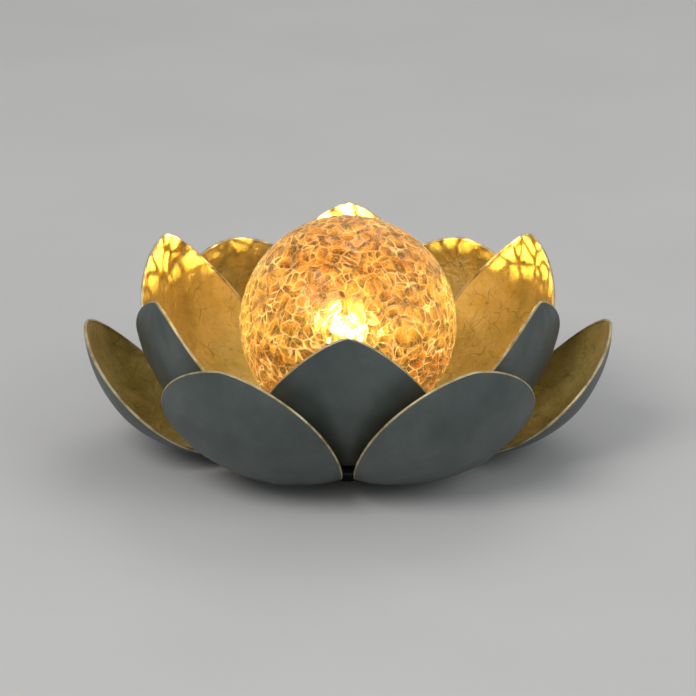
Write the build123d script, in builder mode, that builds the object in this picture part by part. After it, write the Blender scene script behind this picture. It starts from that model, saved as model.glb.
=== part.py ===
from build123d import *
import math
import os

os.makedirs("parts", exist_ok=True)

# Lotus light: two rings of sheet-metal petals around a lit crackle-glass globe.
# Millimetres, +Z up, origin on the floor at the flower's axis, front towards -Y.

# Petal rings
PETALS_PER_RING = 6
PETAL_PITCH = 360 / PETALS_PER_RING
FRONT_ANGLE = -90
INNER_FIRST_ANGLE = FRONT_ANGLE
OUTER_FIRST_ANGLE = FRONT_ANGLE + PETAL_PITCH / 2
SHEET = 1.0
PETAL_TAB_HALF_WIDTH = 8.0

OUTER_ROOT = (47.6, 2.0)
OUTER_TIP = (111.5, 71.3)
OUTER_BULGE = 22.2
OUTER_CUP_RADIUS = 53.6
OUTER_ROOT_HALF_WIDTH = 23.5
OUTER_HALF_WIDTH = 43.7
OUTER_WIDEST_AT = 49.6
OUTER_TIP_POWERS = (2.14, 0.53)
OUTER_TAB_INNER_RADIUS = 39.4
OUTER_TAB_BOTTOM = 2.0
OUTER_LEAN = (0.0, 8.7, 0.0, 0.0, 8.7, 0.0)

INNER_ROOT = (44.0, 8.0)
INNER_TIP = (99.5, 88.0)
INNER_BULGE = 20.0
INNER_CUP_RADIUS = 58.0
INNER_ROOT_HALF_WIDTH = 22.0
INNER_HALF_WIDTH = 40.0
INNER_WIDEST_AT = 52.0
INNER_TIP_POWERS = (1.6, 0.62)
INNER_TAB_INNER_RADIUS = 31.2
INNER_TAB_BOTTOM = 8.0

OUTLINE_STATIONS = 7
TAB_OVERLAP = 1.6
PRISM_BEHIND = 24.0
PRISM_AHEAD = 8.0
SHELL_OVERRUN = 2.0

# Pressed base dish
DISH_THICKNESS = 1.2
DISH_OPENING_RADIUS = 25.0
DISH_RISER_RADIUS = 38.2
DISH_RADIUS = 46.2
DISH_FLANGE_BOTTOM = OUTER_TAB_BOTTOM + SHEET
DISH_PLATEAU_TOP = INNER_TAB_BOTTOM
DISH_BEND_RADIUS = 0.9
EDGE_TOLERANCE = 0.1

# Rivets, two to a petal tab
RIVET_RADIUS = 1.2
RIVET_HEAD_RADIUS = 2.3
RIVET_HEAD_HEIGHT = 0.8
RIVET_HEAD_ROUND = 0.45
RIVET_SIDE_OFFSET = 4.5
OUTER_RIVET_CIRCLE = 42.6
INNER_RIVET_CIRCLE = 34.0

# Feet and float
FOOT_COUNT = 3
FOOT_RADIUS = 4.0
FOOT_CIRCLE = 42.6
FOOT_ROUND = 0.6
FOOT_STEM_RADIUS = 1.5
FOOT_BARB_RADIUS = 2.2
FOOT_BARB_HEIGHT = 1.0
FOOT_BARB_TAPER = 20
FLOAT_INNER_RADIUS = 37.0
FLOAT_OUTER_RADIUS = 42.4
FLOAT_HEIGHT = 11.0
FLOAT_ROUND = 1.5

# Lamp housing: three stacked drums
WALL = 1.8
LOWER_DRUM_WALL = 2.0
LOWER_DRUM_CLEARANCE = 0.4
LOWER_DRUM_RADIUS = DISH_OPENING_RADIUS - LOWER_DRUM_CLEARANCE
MIDDLE_DRUM_RADIUS = 30.4
UPPER_DRUM_RADIUS = 34.0
LOWER_DRUM_CAVITY = LOWER_DRUM_RADIUS - LOWER_DRUM_WALL
UPPER_DRUM_CAVITY = 30.6
COVER_BOTTOM = 3.0
COVER_TOP = 4.2
HOUSING_BOTTOM = 4.6
MIDDLE_DRUM_BOTTOM = DISH_PLATEAU_TOP
UPPER_DRUM_BOTTOM = 10.5
HOUSING_TOP = 15.6
HOUSING_ROUND = 0.6
EDGE_CHAMFER = 0.45
EDGE_SETBACK = 0.2
BOSS_RADIUS = 2.5
BOSS_CIRCLE = 21.4
BOSS_ANGLES = (210, 330, 90)
SEAL_INNER_RADIUS = 31.8
SEAL_OUTER_RADIUS = 33.0
SEAL_DEPTH = 0.8

# Screws
SCREW_RADIUS = 0.9
SCREW_HEAD_RADIUS = 1.9
SCREW_HEAD_HEIGHT = 0.9
SCREW_LENGTH = 4.4
SCREW_SLOT_WIDTH = 0.5
SCREW_SLOT_DEPTH = 0.4

# Deck with the bayonet ring
DECK_TOP = 17.4
BAYONET_INNER_RADIUS = 29.8
BAYONET_OUTER_RADIUS = 32.6
BAYONET_TOP = 20.8
HOOK_INNER_RADIUS = 27.9
HOOK_BOTTOM = 19.6
HOOK_SPAN = 32
LUG_SPAN = 24
LUG_OUTER_RADIUS = 29.4
LUG_BOTTOM = 18.0
LUG_TOP = 19.3
BAYONET_COUNT = 3
JOIN_OVERLAP = 0.2
HOOK_ROOT_RADIUS = BAYONET_INNER_RADIUS + JOIN_OVERLAP

# Solar panel and light post
PANEL_INNER_RADIUS = 6.6
PANEL_OUTER_RADIUS = 17.4
PANEL_RECESS = 0.6
PANEL_THICKNESS = 1.2
PANEL_SIDES = 8
POST_FOOT_RADIUS = 6.2
POST_FOOT_HEIGHT = 1.2
POST_RADIUS = 3.2
POST_BORE = 1.3
POST_TOP = 55.0
LED_BOARD_RADIUS = 4.6
LED_BOARD_THICKNESS = 1.2
LED_SIZE = 3.0
LED_HEIGHT = 0.8
LENS_RADIUS = 3.9
LENS_BARREL = 1.9
LENS_POCKET = 3.4
LENS_POCKET_HEIGHT = 1.0

# Circuit board and switch
BOARD_RADIUS = 18.6
BOARD_BOTTOM = 11.0
BOARD_THICKNESS = 1.6
BOARD_EDGE_Y = 0.4
CHIP_SIZE = (6.0, 4.0)
CHIP_CENTRE = (0.0, -5.0)
SMALL_PART_SIZE = (2.5, 1.6)
SMALL_PART_CENTRES = ((-6.5, -14.0), (5.5, -14.5))
CHIP_HEIGHT = 1.4
COIL_RADIUS = 2.2
COIL_CENTRE = (0.0, -14.0)
COIL_HEIGHT = 2.2
STANDOFF_RADIUS = 2.0
STANDOFF_PIN_RADIUS = 0.8
STANDOFF_X = 11.0
STANDOFF_Y = -8.0
BUTTON_Y = -12.5
SWITCH_SIZE = 8.0
SWITCH_BOTTOM = 8.2

# Push button
BUTTON_RADIUS = 4.4
BUTTON_HOLE_RADIUS = 4.8
BUTTON_BOTTOM = 1.6
BUTTON_FLANGE_RADIUS = 5.8
BUTTON_FLANGE_THICKNESS = 0.8
BUTTON_PLUNGER_RADIUS = 2.0
BUTTON_TOP = 6.9
BUTTON_ROUND = 0.7
BUTTON_DIMPLE_RADIUS = 2.6
BUTTON_DIMPLE_DEPTH = 0.4

# Battery bay
CELL_RADIUS = 5.25
CELL_Y = 6.5
CELL_Z = 10.25
CELL_START_X = -13.5
CELL_LENGTH = 29.0
CELL_ROUND = 0.5
CELL_NUB_RADIUS = 2.0
CELL_NUB_LENGTH = 1.0
CONTACT_SIZE = 8.6
CONTACT_THICKNESS = 0.6
BAY_RIB_THICKNESS = 1.4
BAY_RIB_START_Y = 1.4
BAY_RIB_GAP = 0.4
SPRING_RADIUS = 3.2
SPRING_WIRE_RADIUS = 0.35
SPRING_LENGTH = 3.0
SPRING_TURNS = 3
SPRING_BITE = 0.15
CRADLE_X = 8.0
CRADLE_THICKNESS = 1.6
CRADLE_HALF_WIDTH = 3.6
CRADLE_TOP = 6.0
CRADLE_GAP = 0.05

# Glass globe and collar
GLOBE_CENTRE_Z = 60.0
GLOBE_RADIUS = 50.0
GLASS_THICKNESS = 2.0
MOUTH_Z = 23.0
COLLAR_INNER_RADIUS = 25.4
COLLAR_SKIRT_RADIUS = 27.4
COLLAR_FLANGE_RADIUS = 33.4
COLLAR_FLANGE_BOTTOM = 21.1
COLLAR_SKIRT_BOTTOM = 17.9
COLLAR_PLUG_INNER_RADIUS = 27.6
COLLAR_PLUG_RADIUS = 30.2
COLLAR_PLUG_TOP = 27.5
LUG_ROOT_RADIUS = COLLAR_SKIRT_RADIUS - JOIN_OVERLAP
GLOBE_SEAL_INNER_RADIUS = 25.6
GLOBE_SEAL_OUTER_RADIUS = 27.2


def save(builder, label):
    """Label a finished part and write it as its own STEP file."""
    builder.part.label = label
    export_step(builder.part, f"parts/{label}.step")


def polar(radius, angle):
    """Point in plan at a radius and an angle in degrees about the flower's axis."""
    turn = math.radians(angle)
    return (radius * math.cos(turn), radius * math.sin(turn))


def half_width(along, length, root_width, widest, widest_at, powers):
    """Half width of a petal blank at a distance from its root."""
    if along <= widest_at:
        return root_width + (widest - root_width) * math.sin(math.pi / 2 * along / widest_at)
    beyond = (along - widest_at) / (length - widest_at)
    return widest * (1 - beyond ** powers[0]) ** powers[1]


def petal_outline(length, root_width, widest, widest_at, powers):
    """Points from one root corner over the tip to the other root corner."""
    stations = [widest_at * i / OUTLINE_STATIONS for i in range(OUTLINE_STATIONS)]
    for i in range(OUTLINE_STATIONS):
        quarter = math.pi / 2 * i / OUTLINE_STATIONS
        stations.append(widest_at + (length - widest_at) * math.sin(quarter))
    side = [(s, half_width(s, length, root_width, widest, widest_at, powers)) for s in stations]
    mirrored = [(s, -w) for s, w in reversed(side)]
    return side + [(length, 0.0)] + mirrored


def petal_solid(root, tip, bulge, cup_radius, outline_size, tab, lean, rivet_circle):
    """One petal pointing along +X: a doubly curved sheet with a flat riveting tab."""
    root_width, widest, widest_at, powers = outline_size
    tab_inner, tab_bottom = tab
    run, rise = tip[0] - root[0], tip[1] - root[1]
    length = math.hypot(run, rise)
    slope = math.atan2(rise, run) - math.radians(lean)
    along = Vector(math.cos(slope), 0, math.sin(slope))
    outward = Vector(math.sin(slope), 0, -math.cos(slope))
    start = Vector(root[0], 0, root[1])
    arc_radius = (length ** 2 / 4 + bulge ** 2) / (2 * bulge)
    arc_centre = start + along * (length / 2) - outward * (arc_radius - bulge)
    reach = math.asin((length / 2 + SHELL_OVERRUN) / arc_radius)

    def on_arc(radius, angle):
        """Sketch point on a spine circle, angle measured from the middle of the petal."""
        place = arc_centre + along * (radius * math.sin(angle)) + outward * (radius * math.cos(angle))
        return (place.X, place.Z)

    with BuildPart() as petal:
        # Curved sheet swept about an axis parallel to the chord
        with BuildSketch(Plane.XZ):
            with BuildLine():
                skin = arc_radius
                back = arc_radius - SHEET
                ThreePointArc(on_arc(skin, -reach), on_arc(skin, 0), on_arc(skin, reach))
                Line(on_arc(skin, reach), on_arc(back, reach))
                ThreePointArc(on_arc(back, reach), on_arc(back, 0), on_arc(back, -reach))
                Line(on_arc(back, -reach), on_arc(skin, -reach))
            make_face()
        revolve(axis=Axis(start - outward * cup_radius, along), revolution_arc=360)
        # Cut to the petal outline
        outline = petal_outline(length, root_width, widest, widest_at, powers)
        with BuildSketch(Plane(start - outward * PRISM_BEHIND, x_dir=along, z_dir=outward)):
            with BuildLine():
                Spline(*outline)
                Line(outline[-1], outline[0])
            make_face()
        extrude(amount=PRISM_BEHIND + bulge + PRISM_AHEAD, mode=Mode.INTERSECT)
        # Flat tab under the root
        tab_length = root[0] + TAB_OVERLAP - tab_inner
        with BuildSketch(Plane.XY.offset(tab_bottom)):
            with Locations((tab_inner + tab_length / 2, 0)):
                Rectangle(tab_length, 2 * PETAL_TAB_HALF_WIDTH)
        extrude(amount=SHEET)
        with BuildSketch(Plane.XY.offset(tab_bottom)):
            with Locations((rivet_circle, RIVET_SIDE_OFFSET), (rivet_circle, -RIVET_SIDE_OFFSET)):
                Circle(RIVET_RADIUS)
        extrude(amount=SHEET, mode=Mode.SUBTRACT)
    return petal.part


def rivet_places(circle, first_angle):
    """Centres of the twelve rivets of one petal ring."""
    places = []
    for i in range(PETALS_PER_RING):
        turn = math.radians(first_angle + i * PETAL_PITCH)
        for side in (-RIVET_SIDE_OFFSET, RIVET_SIDE_OFFSET):
            x = circle * math.cos(turn) - side * math.sin(turn)
            y = circle * math.sin(turn) + side * math.cos(turn)
            places.append((x, y))
    return places


outer_rivet_centres = rivet_places(OUTER_RIVET_CIRCLE, OUTER_FIRST_ANGLE)
inner_rivet_centres = rivet_places(INNER_RIVET_CIRCLE, INNER_FIRST_ANGLE)

# Outer petals
outer_size = (OUTER_ROOT_HALF_WIDTH, OUTER_HALF_WIDTH, OUTER_WIDEST_AT, OUTER_TIP_POWERS)
outer_tab = (OUTER_TAB_INNER_RADIUS, OUTER_TAB_BOTTOM)
outer_blanks = {}
for lean in sorted(set(OUTER_LEAN)):
    outer_blanks[lean] = petal_solid(
        OUTER_ROOT, OUTER_TIP, OUTER_BULGE, OUTER_CUP_RADIUS,
        outer_size, outer_tab, lean, OUTER_RIVET_CIRCLE,
    )
for index in range(PETALS_PER_RING):
    with BuildPart() as outer_petal:
        add(outer_blanks[OUTER_LEAN[index]], rotation=(0, 0, OUTER_FIRST_ANGLE + index * PETAL_PITCH))
    save(outer_petal, f"outer_petal_{index + 1}")

# Inner petals
inner_size = (INNER_ROOT_HALF_WIDTH, INNER_HALF_WIDTH, INNER_WIDEST_AT, INNER_TIP_POWERS)
inner_tab = (INNER_TAB_INNER_RADIUS, INNER_TAB_BOTTOM)
inner_blank = petal_solid(
    INNER_ROOT, INNER_TIP, INNER_BULGE, INNER_CUP_RADIUS,
    inner_size, inner_tab, 0.0, INNER_RIVET_CIRCLE,
)
for index in range(PETALS_PER_RING):
    with BuildPart() as inner_petal:
        add(inner_blank, rotation=(0, 0, INNER_FIRST_ANGLE + index * PETAL_PITCH))
    save(inner_petal, f"inner_petal_{index + 1}")

# Base dish: flange for the outer tabs, raised ring for the inner tabs
foot_centres = []
for index in range(FOOT_COUNT):
    foot_centres.append(polar(FOOT_CIRCLE, FRONT_ANGLE + index * 360 / FOOT_COUNT))

with BuildPart() as base_dish:
    with BuildSketch(Plane.XZ):
        with BuildLine():
            Polyline(
                (DISH_OPENING_RADIUS, DISH_PLATEAU_TOP),
                (DISH_RISER_RADIUS, DISH_PLATEAU_TOP),
                (DISH_RISER_RADIUS, DISH_FLANGE_BOTTOM + DISH_THICKNESS),
                (DISH_RADIUS, DISH_FLANGE_BOTTOM + DISH_THICKNESS),
                (DISH_RADIUS, DISH_FLANGE_BOTTOM),
                (DISH_RISER_RADIUS - DISH_THICKNESS, DISH_FLANGE_BOTTOM),
                (DISH_RISER_RADIUS - DISH_THICKNESS, DISH_PLATEAU_TOP - DISH_THICKNESS),
                (DISH_OPENING_RADIUS, DISH_PLATEAU_TOP - DISH_THICKNESS),
                close=True,
            )
        make_face()
    revolve(axis=Axis.Z)
    bend_edges = base_dish.edges().filter_by(GeomType.CIRCLE).filter_by(
        lambda e: abs(e.radius - DISH_RISER_RADIUS) < EDGE_TOLERANCE
    )
    fillet(bend_edges, DISH_BEND_RADIUS)
    with BuildSketch(Plane.XY):
        with Locations(*outer_rivet_centres, *inner_rivet_centres):
            Circle(RIVET_RADIUS)
        with Locations(*foot_centres):
            Circle(FOOT_STEM_RADIUS)
    extrude(amount=DISH_PLATEAU_TOP, mode=Mode.SUBTRACT)
save(base_dish, "base_dish")


def rivet_group(centres, bottom, grip):
    """Round-headed rivets clamping a stack that starts at a given height."""
    with BuildPart() as group:
        with BuildSketch(Plane.XY.offset(bottom - RIVET_HEAD_HEIGHT)):
            with Locations(*centres):
                Circle(RIVET_HEAD_RADIUS)
        extrude(amount=RIVET_HEAD_HEIGHT)
        with BuildSketch(Plane.XY.offset(bottom + grip)):
            with Locations(*centres):
                Circle(RIVET_HEAD_RADIUS)
        extrude(amount=RIVET_HEAD_HEIGHT)
        ends = group.faces().filter_by(Axis.Z).group_by(Axis.Z)
        fillet(ends[0].edges() + ends[-1].edges(), RIVET_HEAD_ROUND)
        with BuildSketch(Plane.XY.offset(bottom)):
            with Locations(*centres):
                Circle(RIVET_RADIUS)
        extrude(amount=grip)
    return group


tab_stack = SHEET + DISH_THICKNESS
outer_petal_rivets = rivet_group(outer_rivet_centres, OUTER_TAB_BOTTOM, tab_stack)
save(outer_petal_rivets, "outer_petal_rivets")
inner_petal_rivets = rivet_group(inner_rivet_centres, DISH_PLATEAU_TOP - DISH_THICKNESS, tab_stack)
save(inner_petal_rivets, "inner_petal_rivets")

# Push-in rubber feet
with BuildPart() as rubber_feet:
    with BuildSketch(Plane.XY):
        with Locations(*foot_centres):
            Circle(FOOT_RADIUS)
    extrude(amount=DISH_FLANGE_BOTTOM)
    fillet(rubber_feet.faces().sort_by(Axis.Z)[:FOOT_COUNT].edges(), FOOT_ROUND)
    with BuildSketch(Plane.XY.offset(DISH_FLANGE_BOTTOM)):
        with Locations(*foot_centres):
            Circle(FOOT_STEM_RADIUS)
    extrude(amount=DISH_THICKNESS)
    with BuildSketch(Plane.XY.offset(DISH_FLANGE_BOTTOM + DISH_THICKNESS)):
        with Locations(*foot_centres):
            Circle(FOOT_BARB_RADIUS)
    extrude(amount=FOOT_BARB_HEIGHT, taper=FOOT_BARB_TAPER)
save(rubber_feet, "rubber_feet")

# Foam float around the lamp
with BuildPart() as float_ring:
    with BuildSketch(Plane.XY.offset(INNER_TAB_BOTTOM + SHEET)):
        Circle(FLOAT_OUTER_RADIUS)
        Circle(FLOAT_INNER_RADIUS, mode=Mode.SUBTRACT)
    extrude(amount=FLOAT_HEIGHT)
    fillet(float_ring.faces().sort_by(Axis.Z)[-1].edges(), FLOAT_ROUND)
save(float_ring, "float_ring")

# Lamp housing
boss_centres = [polar(BOSS_CIRCLE, angle) for angle in BOSS_ANGLES]
rib_length = LOWER_DRUM_RADIUS - BAY_RIB_START_Y
rib_height = HOUSING_TOP - HOUSING_BOTTOM - BAY_RIB_GAP
contact_x = CELL_START_X - CELL_NUB_LENGTH - CONTACT_THICKNESS
spring_end_x = CELL_START_X + CELL_LENGTH + SPRING_LENGTH

with BuildPart() as lamp_housing:
    with BuildSketch(Plane.XY.offset(HOUSING_BOTTOM)):
        Circle(LOWER_DRUM_RADIUS)
    extrude(amount=MIDDLE_DRUM_BOTTOM - HOUSING_BOTTOM)
    with BuildSketch(Plane.XY.offset(MIDDLE_DRUM_BOTTOM)):
        Circle(MIDDLE_DRUM_RADIUS)
    extrude(amount=UPPER_DRUM_BOTTOM - MIDDLE_DRUM_BOTTOM)
    with BuildSketch(Plane.XY.offset(UPPER_DRUM_BOTTOM)):
        Circle(UPPER_DRUM_RADIUS)
    extrude(amount=HOUSING_TOP - UPPER_DRUM_BOTTOM)
    rims = lamp_housing.edges().filter_by(GeomType.CIRCLE).filter_by(
        lambda e: abs(e.radius - UPPER_DRUM_RADIUS) < EDGE_TOLERANCE
    )
    fillet(rims.sort_by(Axis.Z)[0], HOUSING_ROUND)
    # Hollow interior, stepped like the outside
    with BuildSketch(Plane.XY.offset(HOUSING_BOTTOM)):
        Circle(LOWER_DRUM_CAVITY)
    extrude(amount=HOUSING_TOP - HOUSING_BOTTOM, mode=Mode.SUBTRACT)
    with BuildSketch(Plane.XY.offset(MIDDLE_DRUM_BOTTOM + WALL)):
        Circle(MIDDLE_DRUM_RADIUS - WALL)
    extrude(amount=HOUSING_TOP - MIDDLE_DRUM_BOTTOM - WALL, mode=Mode.SUBTRACT)
    with BuildSketch(Plane.XY.offset(UPPER_DRUM_BOTTOM + WALL)):
        Circle(UPPER_DRUM_CAVITY)
    extrude(amount=HOUSING_TOP - UPPER_DRUM_BOTTOM - WALL, mode=Mode.SUBTRACT)
    # Screw bosses running the full height
    with BuildSketch(Plane.XY.offset(HOUSING_BOTTOM)):
        with Locations(*boss_centres):
            Circle(BOSS_RADIUS)
    extrude(amount=HOUSING_TOP - HOUSING_BOTTOM)
    # Ribs behind the two battery contacts
    with BuildSketch(Plane.XY.offset(HOUSING_BOTTOM)):
        with Locations((contact_x, BAY_RIB_START_Y)):
            Rectangle(BAY_RIB_THICKNESS, rib_length, align=(Align.MAX, Align.MIN))
        with Locations((spring_end_x + CONTACT_THICKNESS, BAY_RIB_START_Y)):
            Rectangle(BAY_RIB_THICKNESS, rib_length, align=(Align.MIN, Align.MIN))
        Circle(LOWER_DRUM_RADIUS - EDGE_SETBACK, mode=Mode.INTERSECT)
    extrude(amount=rib_height)
    # Seal groove in the rim
    with BuildSketch(Plane.XY.offset(HOUSING_TOP - SEAL_DEPTH)):
        Circle(SEAL_OUTER_RADIUS)
        Circle(SEAL_INNER_RADIUS, mode=Mode.SUBTRACT)
    extrude(amount=SEAL_DEPTH, mode=Mode.SUBTRACT)
    # Screw holes from above and below
    with BuildSketch(Plane.XY.offset(HOUSING_TOP)):
        with Locations(*boss_centres):
            Circle(SCREW_RADIUS)
    extrude(amount=-SCREW_LENGTH, mode=Mode.SUBTRACT)
    with BuildSketch(Plane.XY.offset(HOUSING_BOTTOM)):
        with Locations(*boss_centres):
            Circle(SCREW_RADIUS)
    extrude(amount=SCREW_LENGTH, mode=Mode.SUBTRACT)
save(lamp_housing, "lamp_housing")

# Battery cover, with a cradle for the cell and the button hole
with BuildPart() as battery_cover:
    with BuildSketch(Plane.XY.offset(COVER_BOTTOM)):
        Circle(LOWER_DRUM_RADIUS)
    extrude(amount=COVER_TOP - COVER_BOTTOM)
    chamfer(battery_cover.faces().sort_by(Axis.Z)[0].edges(), EDGE_CHAMFER)
    with BuildSketch(Plane.XY.offset(COVER_TOP)):
        with Locations((-CRADLE_X, CELL_Y), (CRADLE_X, CELL_Y)):
            Rectangle(CRADLE_THICKNESS, 2 * CRADLE_HALF_WIDTH)
    extrude(amount=CRADLE_TOP - COVER_TOP)
    with BuildSketch(Plane.YZ.offset(-CRADLE_X - CRADLE_THICKNESS)):
        with Locations((CELL_Y, CELL_Z)):
            Circle(CELL_RADIUS + CRADLE_GAP)
    extrude(amount=2 * (CRADLE_X + CRADLE_THICKNESS), mode=Mode.SUBTRACT)
    with BuildSketch(Plane.XY.offset(COVER_BOTTOM)):
        with Locations((0, BUTTON_Y)):
            Circle(BUTTON_HOLE_RADIUS)
        with Locations(*boss_centres):
            Circle(SCREW_RADIUS)
    extrude(amount=COVER_TOP - COVER_BOTTOM, mode=Mode.SUBTRACT)
    with BuildSketch(Plane.XY.offset(COVER_BOTTOM)):
        with Locations(*boss_centres):
            Circle(SCREW_HEAD_RADIUS)
    extrude(amount=SCREW_HEAD_HEIGHT, mode=Mode.SUBTRACT)
save(battery_cover, "battery_cover")

with BuildPart() as battery_cover_gasket:
    with BuildSketch(Plane.XY.offset(COVER_TOP)):
        Circle(LOWER_DRUM_RADIUS - EDGE_SETBACK)
        Circle(LOWER_DRUM_CAVITY, mode=Mode.SUBTRACT)
        with Locations(*boss_centres):
            Circle(BOSS_RADIUS)
            Circle(SCREW_RADIUS, mode=Mode.SUBTRACT)
        Circle(LOWER_DRUM_RADIUS - EDGE_SETBACK, mode=Mode.INTERSECT)
    extrude(amount=HOUSING_BOTTOM - COVER_TOP)
save(battery_cover_gasket, "battery_cover_gasket")


def screw_group(centres, head_face, direction):
    """Slotted flush screws whose heads end at a height, pointing up (+1) or down (-1)."""
    with BuildPart() as group:
        with BuildSketch(Plane.XY.offset(head_face)):
            with Locations(*centres):
                Circle(SCREW_HEAD_RADIUS)
        extrude(amount=direction * SCREW_HEAD_HEIGHT)
        with BuildSketch(Plane.XY.offset(head_face)):
            with Locations(*centres):
                Rectangle(2 * SCREW_HEAD_RADIUS, SCREW_SLOT_WIDTH)
        extrude(amount=direction * SCREW_SLOT_DEPTH, mode=Mode.SUBTRACT)
        with BuildSketch(Plane.XY.offset(head_face + direction * SCREW_HEAD_HEIGHT)):
            with Locations(*centres):
                Circle(SCREW_RADIUS)
        extrude(amount=direction * SCREW_LENGTH)
    return group


cover_screws = screw_group(boss_centres, COVER_BOTTOM, 1)
save(cover_screws, "cover_screws")
deck_screws = screw_group(boss_centres, DECK_TOP, -1)
save(deck_screws, "deck_screws")

with BuildPart() as housing_seal:
    with BuildSketch(Plane.XY.offset(HOUSING_TOP - SEAL_DEPTH)):
        Circle(SEAL_OUTER_RADIUS)
        Circle(SEAL_INNER_RADIUS, mode=Mode.SUBTRACT)
    extrude(amount=SEAL_DEPTH)
save(housing_seal, "housing_seal")

# Deck closing the housing, with the bayonet ring and board standoffs
standoff_centres = [(-STANDOFF_X, STANDOFF_Y), (STANDOFF_X, STANDOFF_Y)]
hook_angles = [FRONT_ANGLE + 360 / BAYONET_COUNT * i for i in range(BAYONET_COUNT)]

with BuildPart() as housing_deck:
    with BuildSketch(Plane.XY.offset(HOUSING_TOP)):
        Circle(UPPER_DRUM_RADIUS)
    extrude(amount=DECK_TOP - HOUSING_TOP)
    chamfer(housing_deck.faces().sort_by(Axis.Z)[-1].edges(), EDGE_CHAMFER)
    with BuildSketch(Plane.XY.offset(DECK_TOP)):
        Circle(BAYONET_OUTER_RADIUS)
        Circle(BAYONET_INNER_RADIUS, mode=Mode.SUBTRACT)
    extrude(amount=BAYONET_TOP - DECK_TOP)
    for angle in hook_angles:
        with BuildSketch(Plane.XY.offset(HOOK_BOTTOM).rotated((0, 0, angle - HOOK_SPAN / 2))):
            with BuildLine():
                CenterArc((0, 0), HOOK_INNER_RADIUS, 0, HOOK_SPAN)
                CenterArc((0, 0), HOOK_ROOT_RADIUS, 0, HOOK_SPAN)
                Line((HOOK_INNER_RADIUS, 0), (HOOK_ROOT_RADIUS, 0))
                Line(polar(HOOK_INNER_RADIUS, HOOK_SPAN), polar(HOOK_ROOT_RADIUS, HOOK_SPAN))
            make_face()
        extrude(amount=BAYONET_TOP - HOOK_BOTTOM)
    # Recess for the panel, wire hole and countersinks
    with BuildSketch(Plane.XY.offset(DECK_TOP)):
        RegularPolygon(PANEL_OUTER_RADIUS, PANEL_SIDES, major_radius=False)
        Circle(PANEL_INNER_RADIUS, mode=Mode.SUBTRACT)
    extrude(amount=-PANEL_RECESS, mode=Mode.SUBTRACT)
    with BuildSketch(Plane.XY.offset(DECK_TOP)):
        Circle(POST_BORE)
        with Locations(*boss_centres):
            Circle(SCREW_RADIUS)
    extrude(amount=HOUSING_TOP - DECK_TOP, mode=Mode.SUBTRACT)
    with BuildSketch(Plane.XY.offset(DECK_TOP)):
        with Locations(*boss_centres):
            Circle(SCREW_HEAD_RADIUS)
    extrude(amount=-SCREW_HEAD_HEIGHT, mode=Mode.SUBTRACT)
    # Standoffs with staking pins for the circuit board
    with BuildSketch(Plane.XY.offset(HOUSING_TOP)):
        with Locations(*standoff_centres):
            Circle(STANDOFF_RADIUS)
    extrude(amount=BOARD_BOTTOM + BOARD_THICKNESS - HOUSING_TOP)
    with BuildSketch(Plane.XY.offset(BOARD_BOTTOM + BOARD_THICKNESS)):
        with Locations(*standoff_centres):
            Circle(STANDOFF_PIN_RADIUS)
    extrude(amount=-BOARD_THICKNESS)
save(housing_deck, "housing_deck")

# Solar panel around the post
with BuildPart() as solar_panel:
    with BuildSketch(Plane.XY.offset(DECK_TOP - PANEL_RECESS)):
        RegularPolygon(PANEL_OUTER_RADIUS, PANEL_SIDES, major_radius=False)
        Circle(PANEL_INNER_RADIUS, mode=Mode.SUBTRACT)
    extrude(amount=PANEL_THICKNESS)
save(solar_panel, "solar_panel")

# Light post, board, emitter and lens
with BuildPart() as led_post:
    with BuildSketch(Plane.XY.offset(DECK_TOP)):
        Circle(POST_FOOT_RADIUS)
    extrude(amount=POST_FOOT_HEIGHT)
    chamfer(led_post.faces().sort_by(Axis.Z)[-1].edges(), POST_FOOT_HEIGHT / 2)
    with BuildSketch(Plane.XY.offset(DECK_TOP)):
        Circle(POST_RADIUS)
    extrude(amount=POST_TOP - DECK_TOP)
    with BuildSketch(Plane.XY.offset(DECK_TOP)):
        Circle(POST_BORE)
    extrude(amount=POST_TOP - DECK_TOP, mode=Mode.SUBTRACT)
save(led_post, "led_post")

led_base = POST_TOP + LED_BOARD_THICKNESS
with BuildPart() as led_board:
    with BuildSketch(Plane.XY.offset(POST_TOP)):
        Circle(LED_BOARD_RADIUS)
    extrude(amount=LED_BOARD_THICKNESS)
save(led_board, "led_board")

with BuildPart() as led_emitter:
    with BuildSketch(Plane.XY.offset(led_base)):
        Rectangle(LED_SIZE, LED_SIZE)
    extrude(amount=LED_HEIGHT)
    chamfer(led_emitter.faces().sort_by(Axis.Z)[-1].edges(), LED_HEIGHT / 4)
save(led_emitter, "led_emitter")

with BuildPart() as led_lens:
    with BuildSketch(Plane.XZ):
        with BuildLine():
            Line((0, led_base), (LENS_RADIUS, led_base))
            Line((LENS_RADIUS, led_base), (LENS_RADIUS, led_base + LENS_BARREL))
            RadiusArc(
                (LENS_RADIUS, led_base + LENS_BARREL),
                (0, led_base + LENS_BARREL + LENS_RADIUS),
                -LENS_RADIUS,
            )
            Line((0, led_base + LENS_BARREL + LENS_RADIUS), (0, led_base))
        make_face()
    revolve(axis=Axis.Z)
    with BuildSketch(Plane.XY.offset(led_base)):
        Rectangle(LENS_POCKET, LENS_POCKET)
    extrude(amount=LENS_POCKET_HEIGHT, mode=Mode.SUBTRACT)
save(led_lens, "led_lens")

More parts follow.
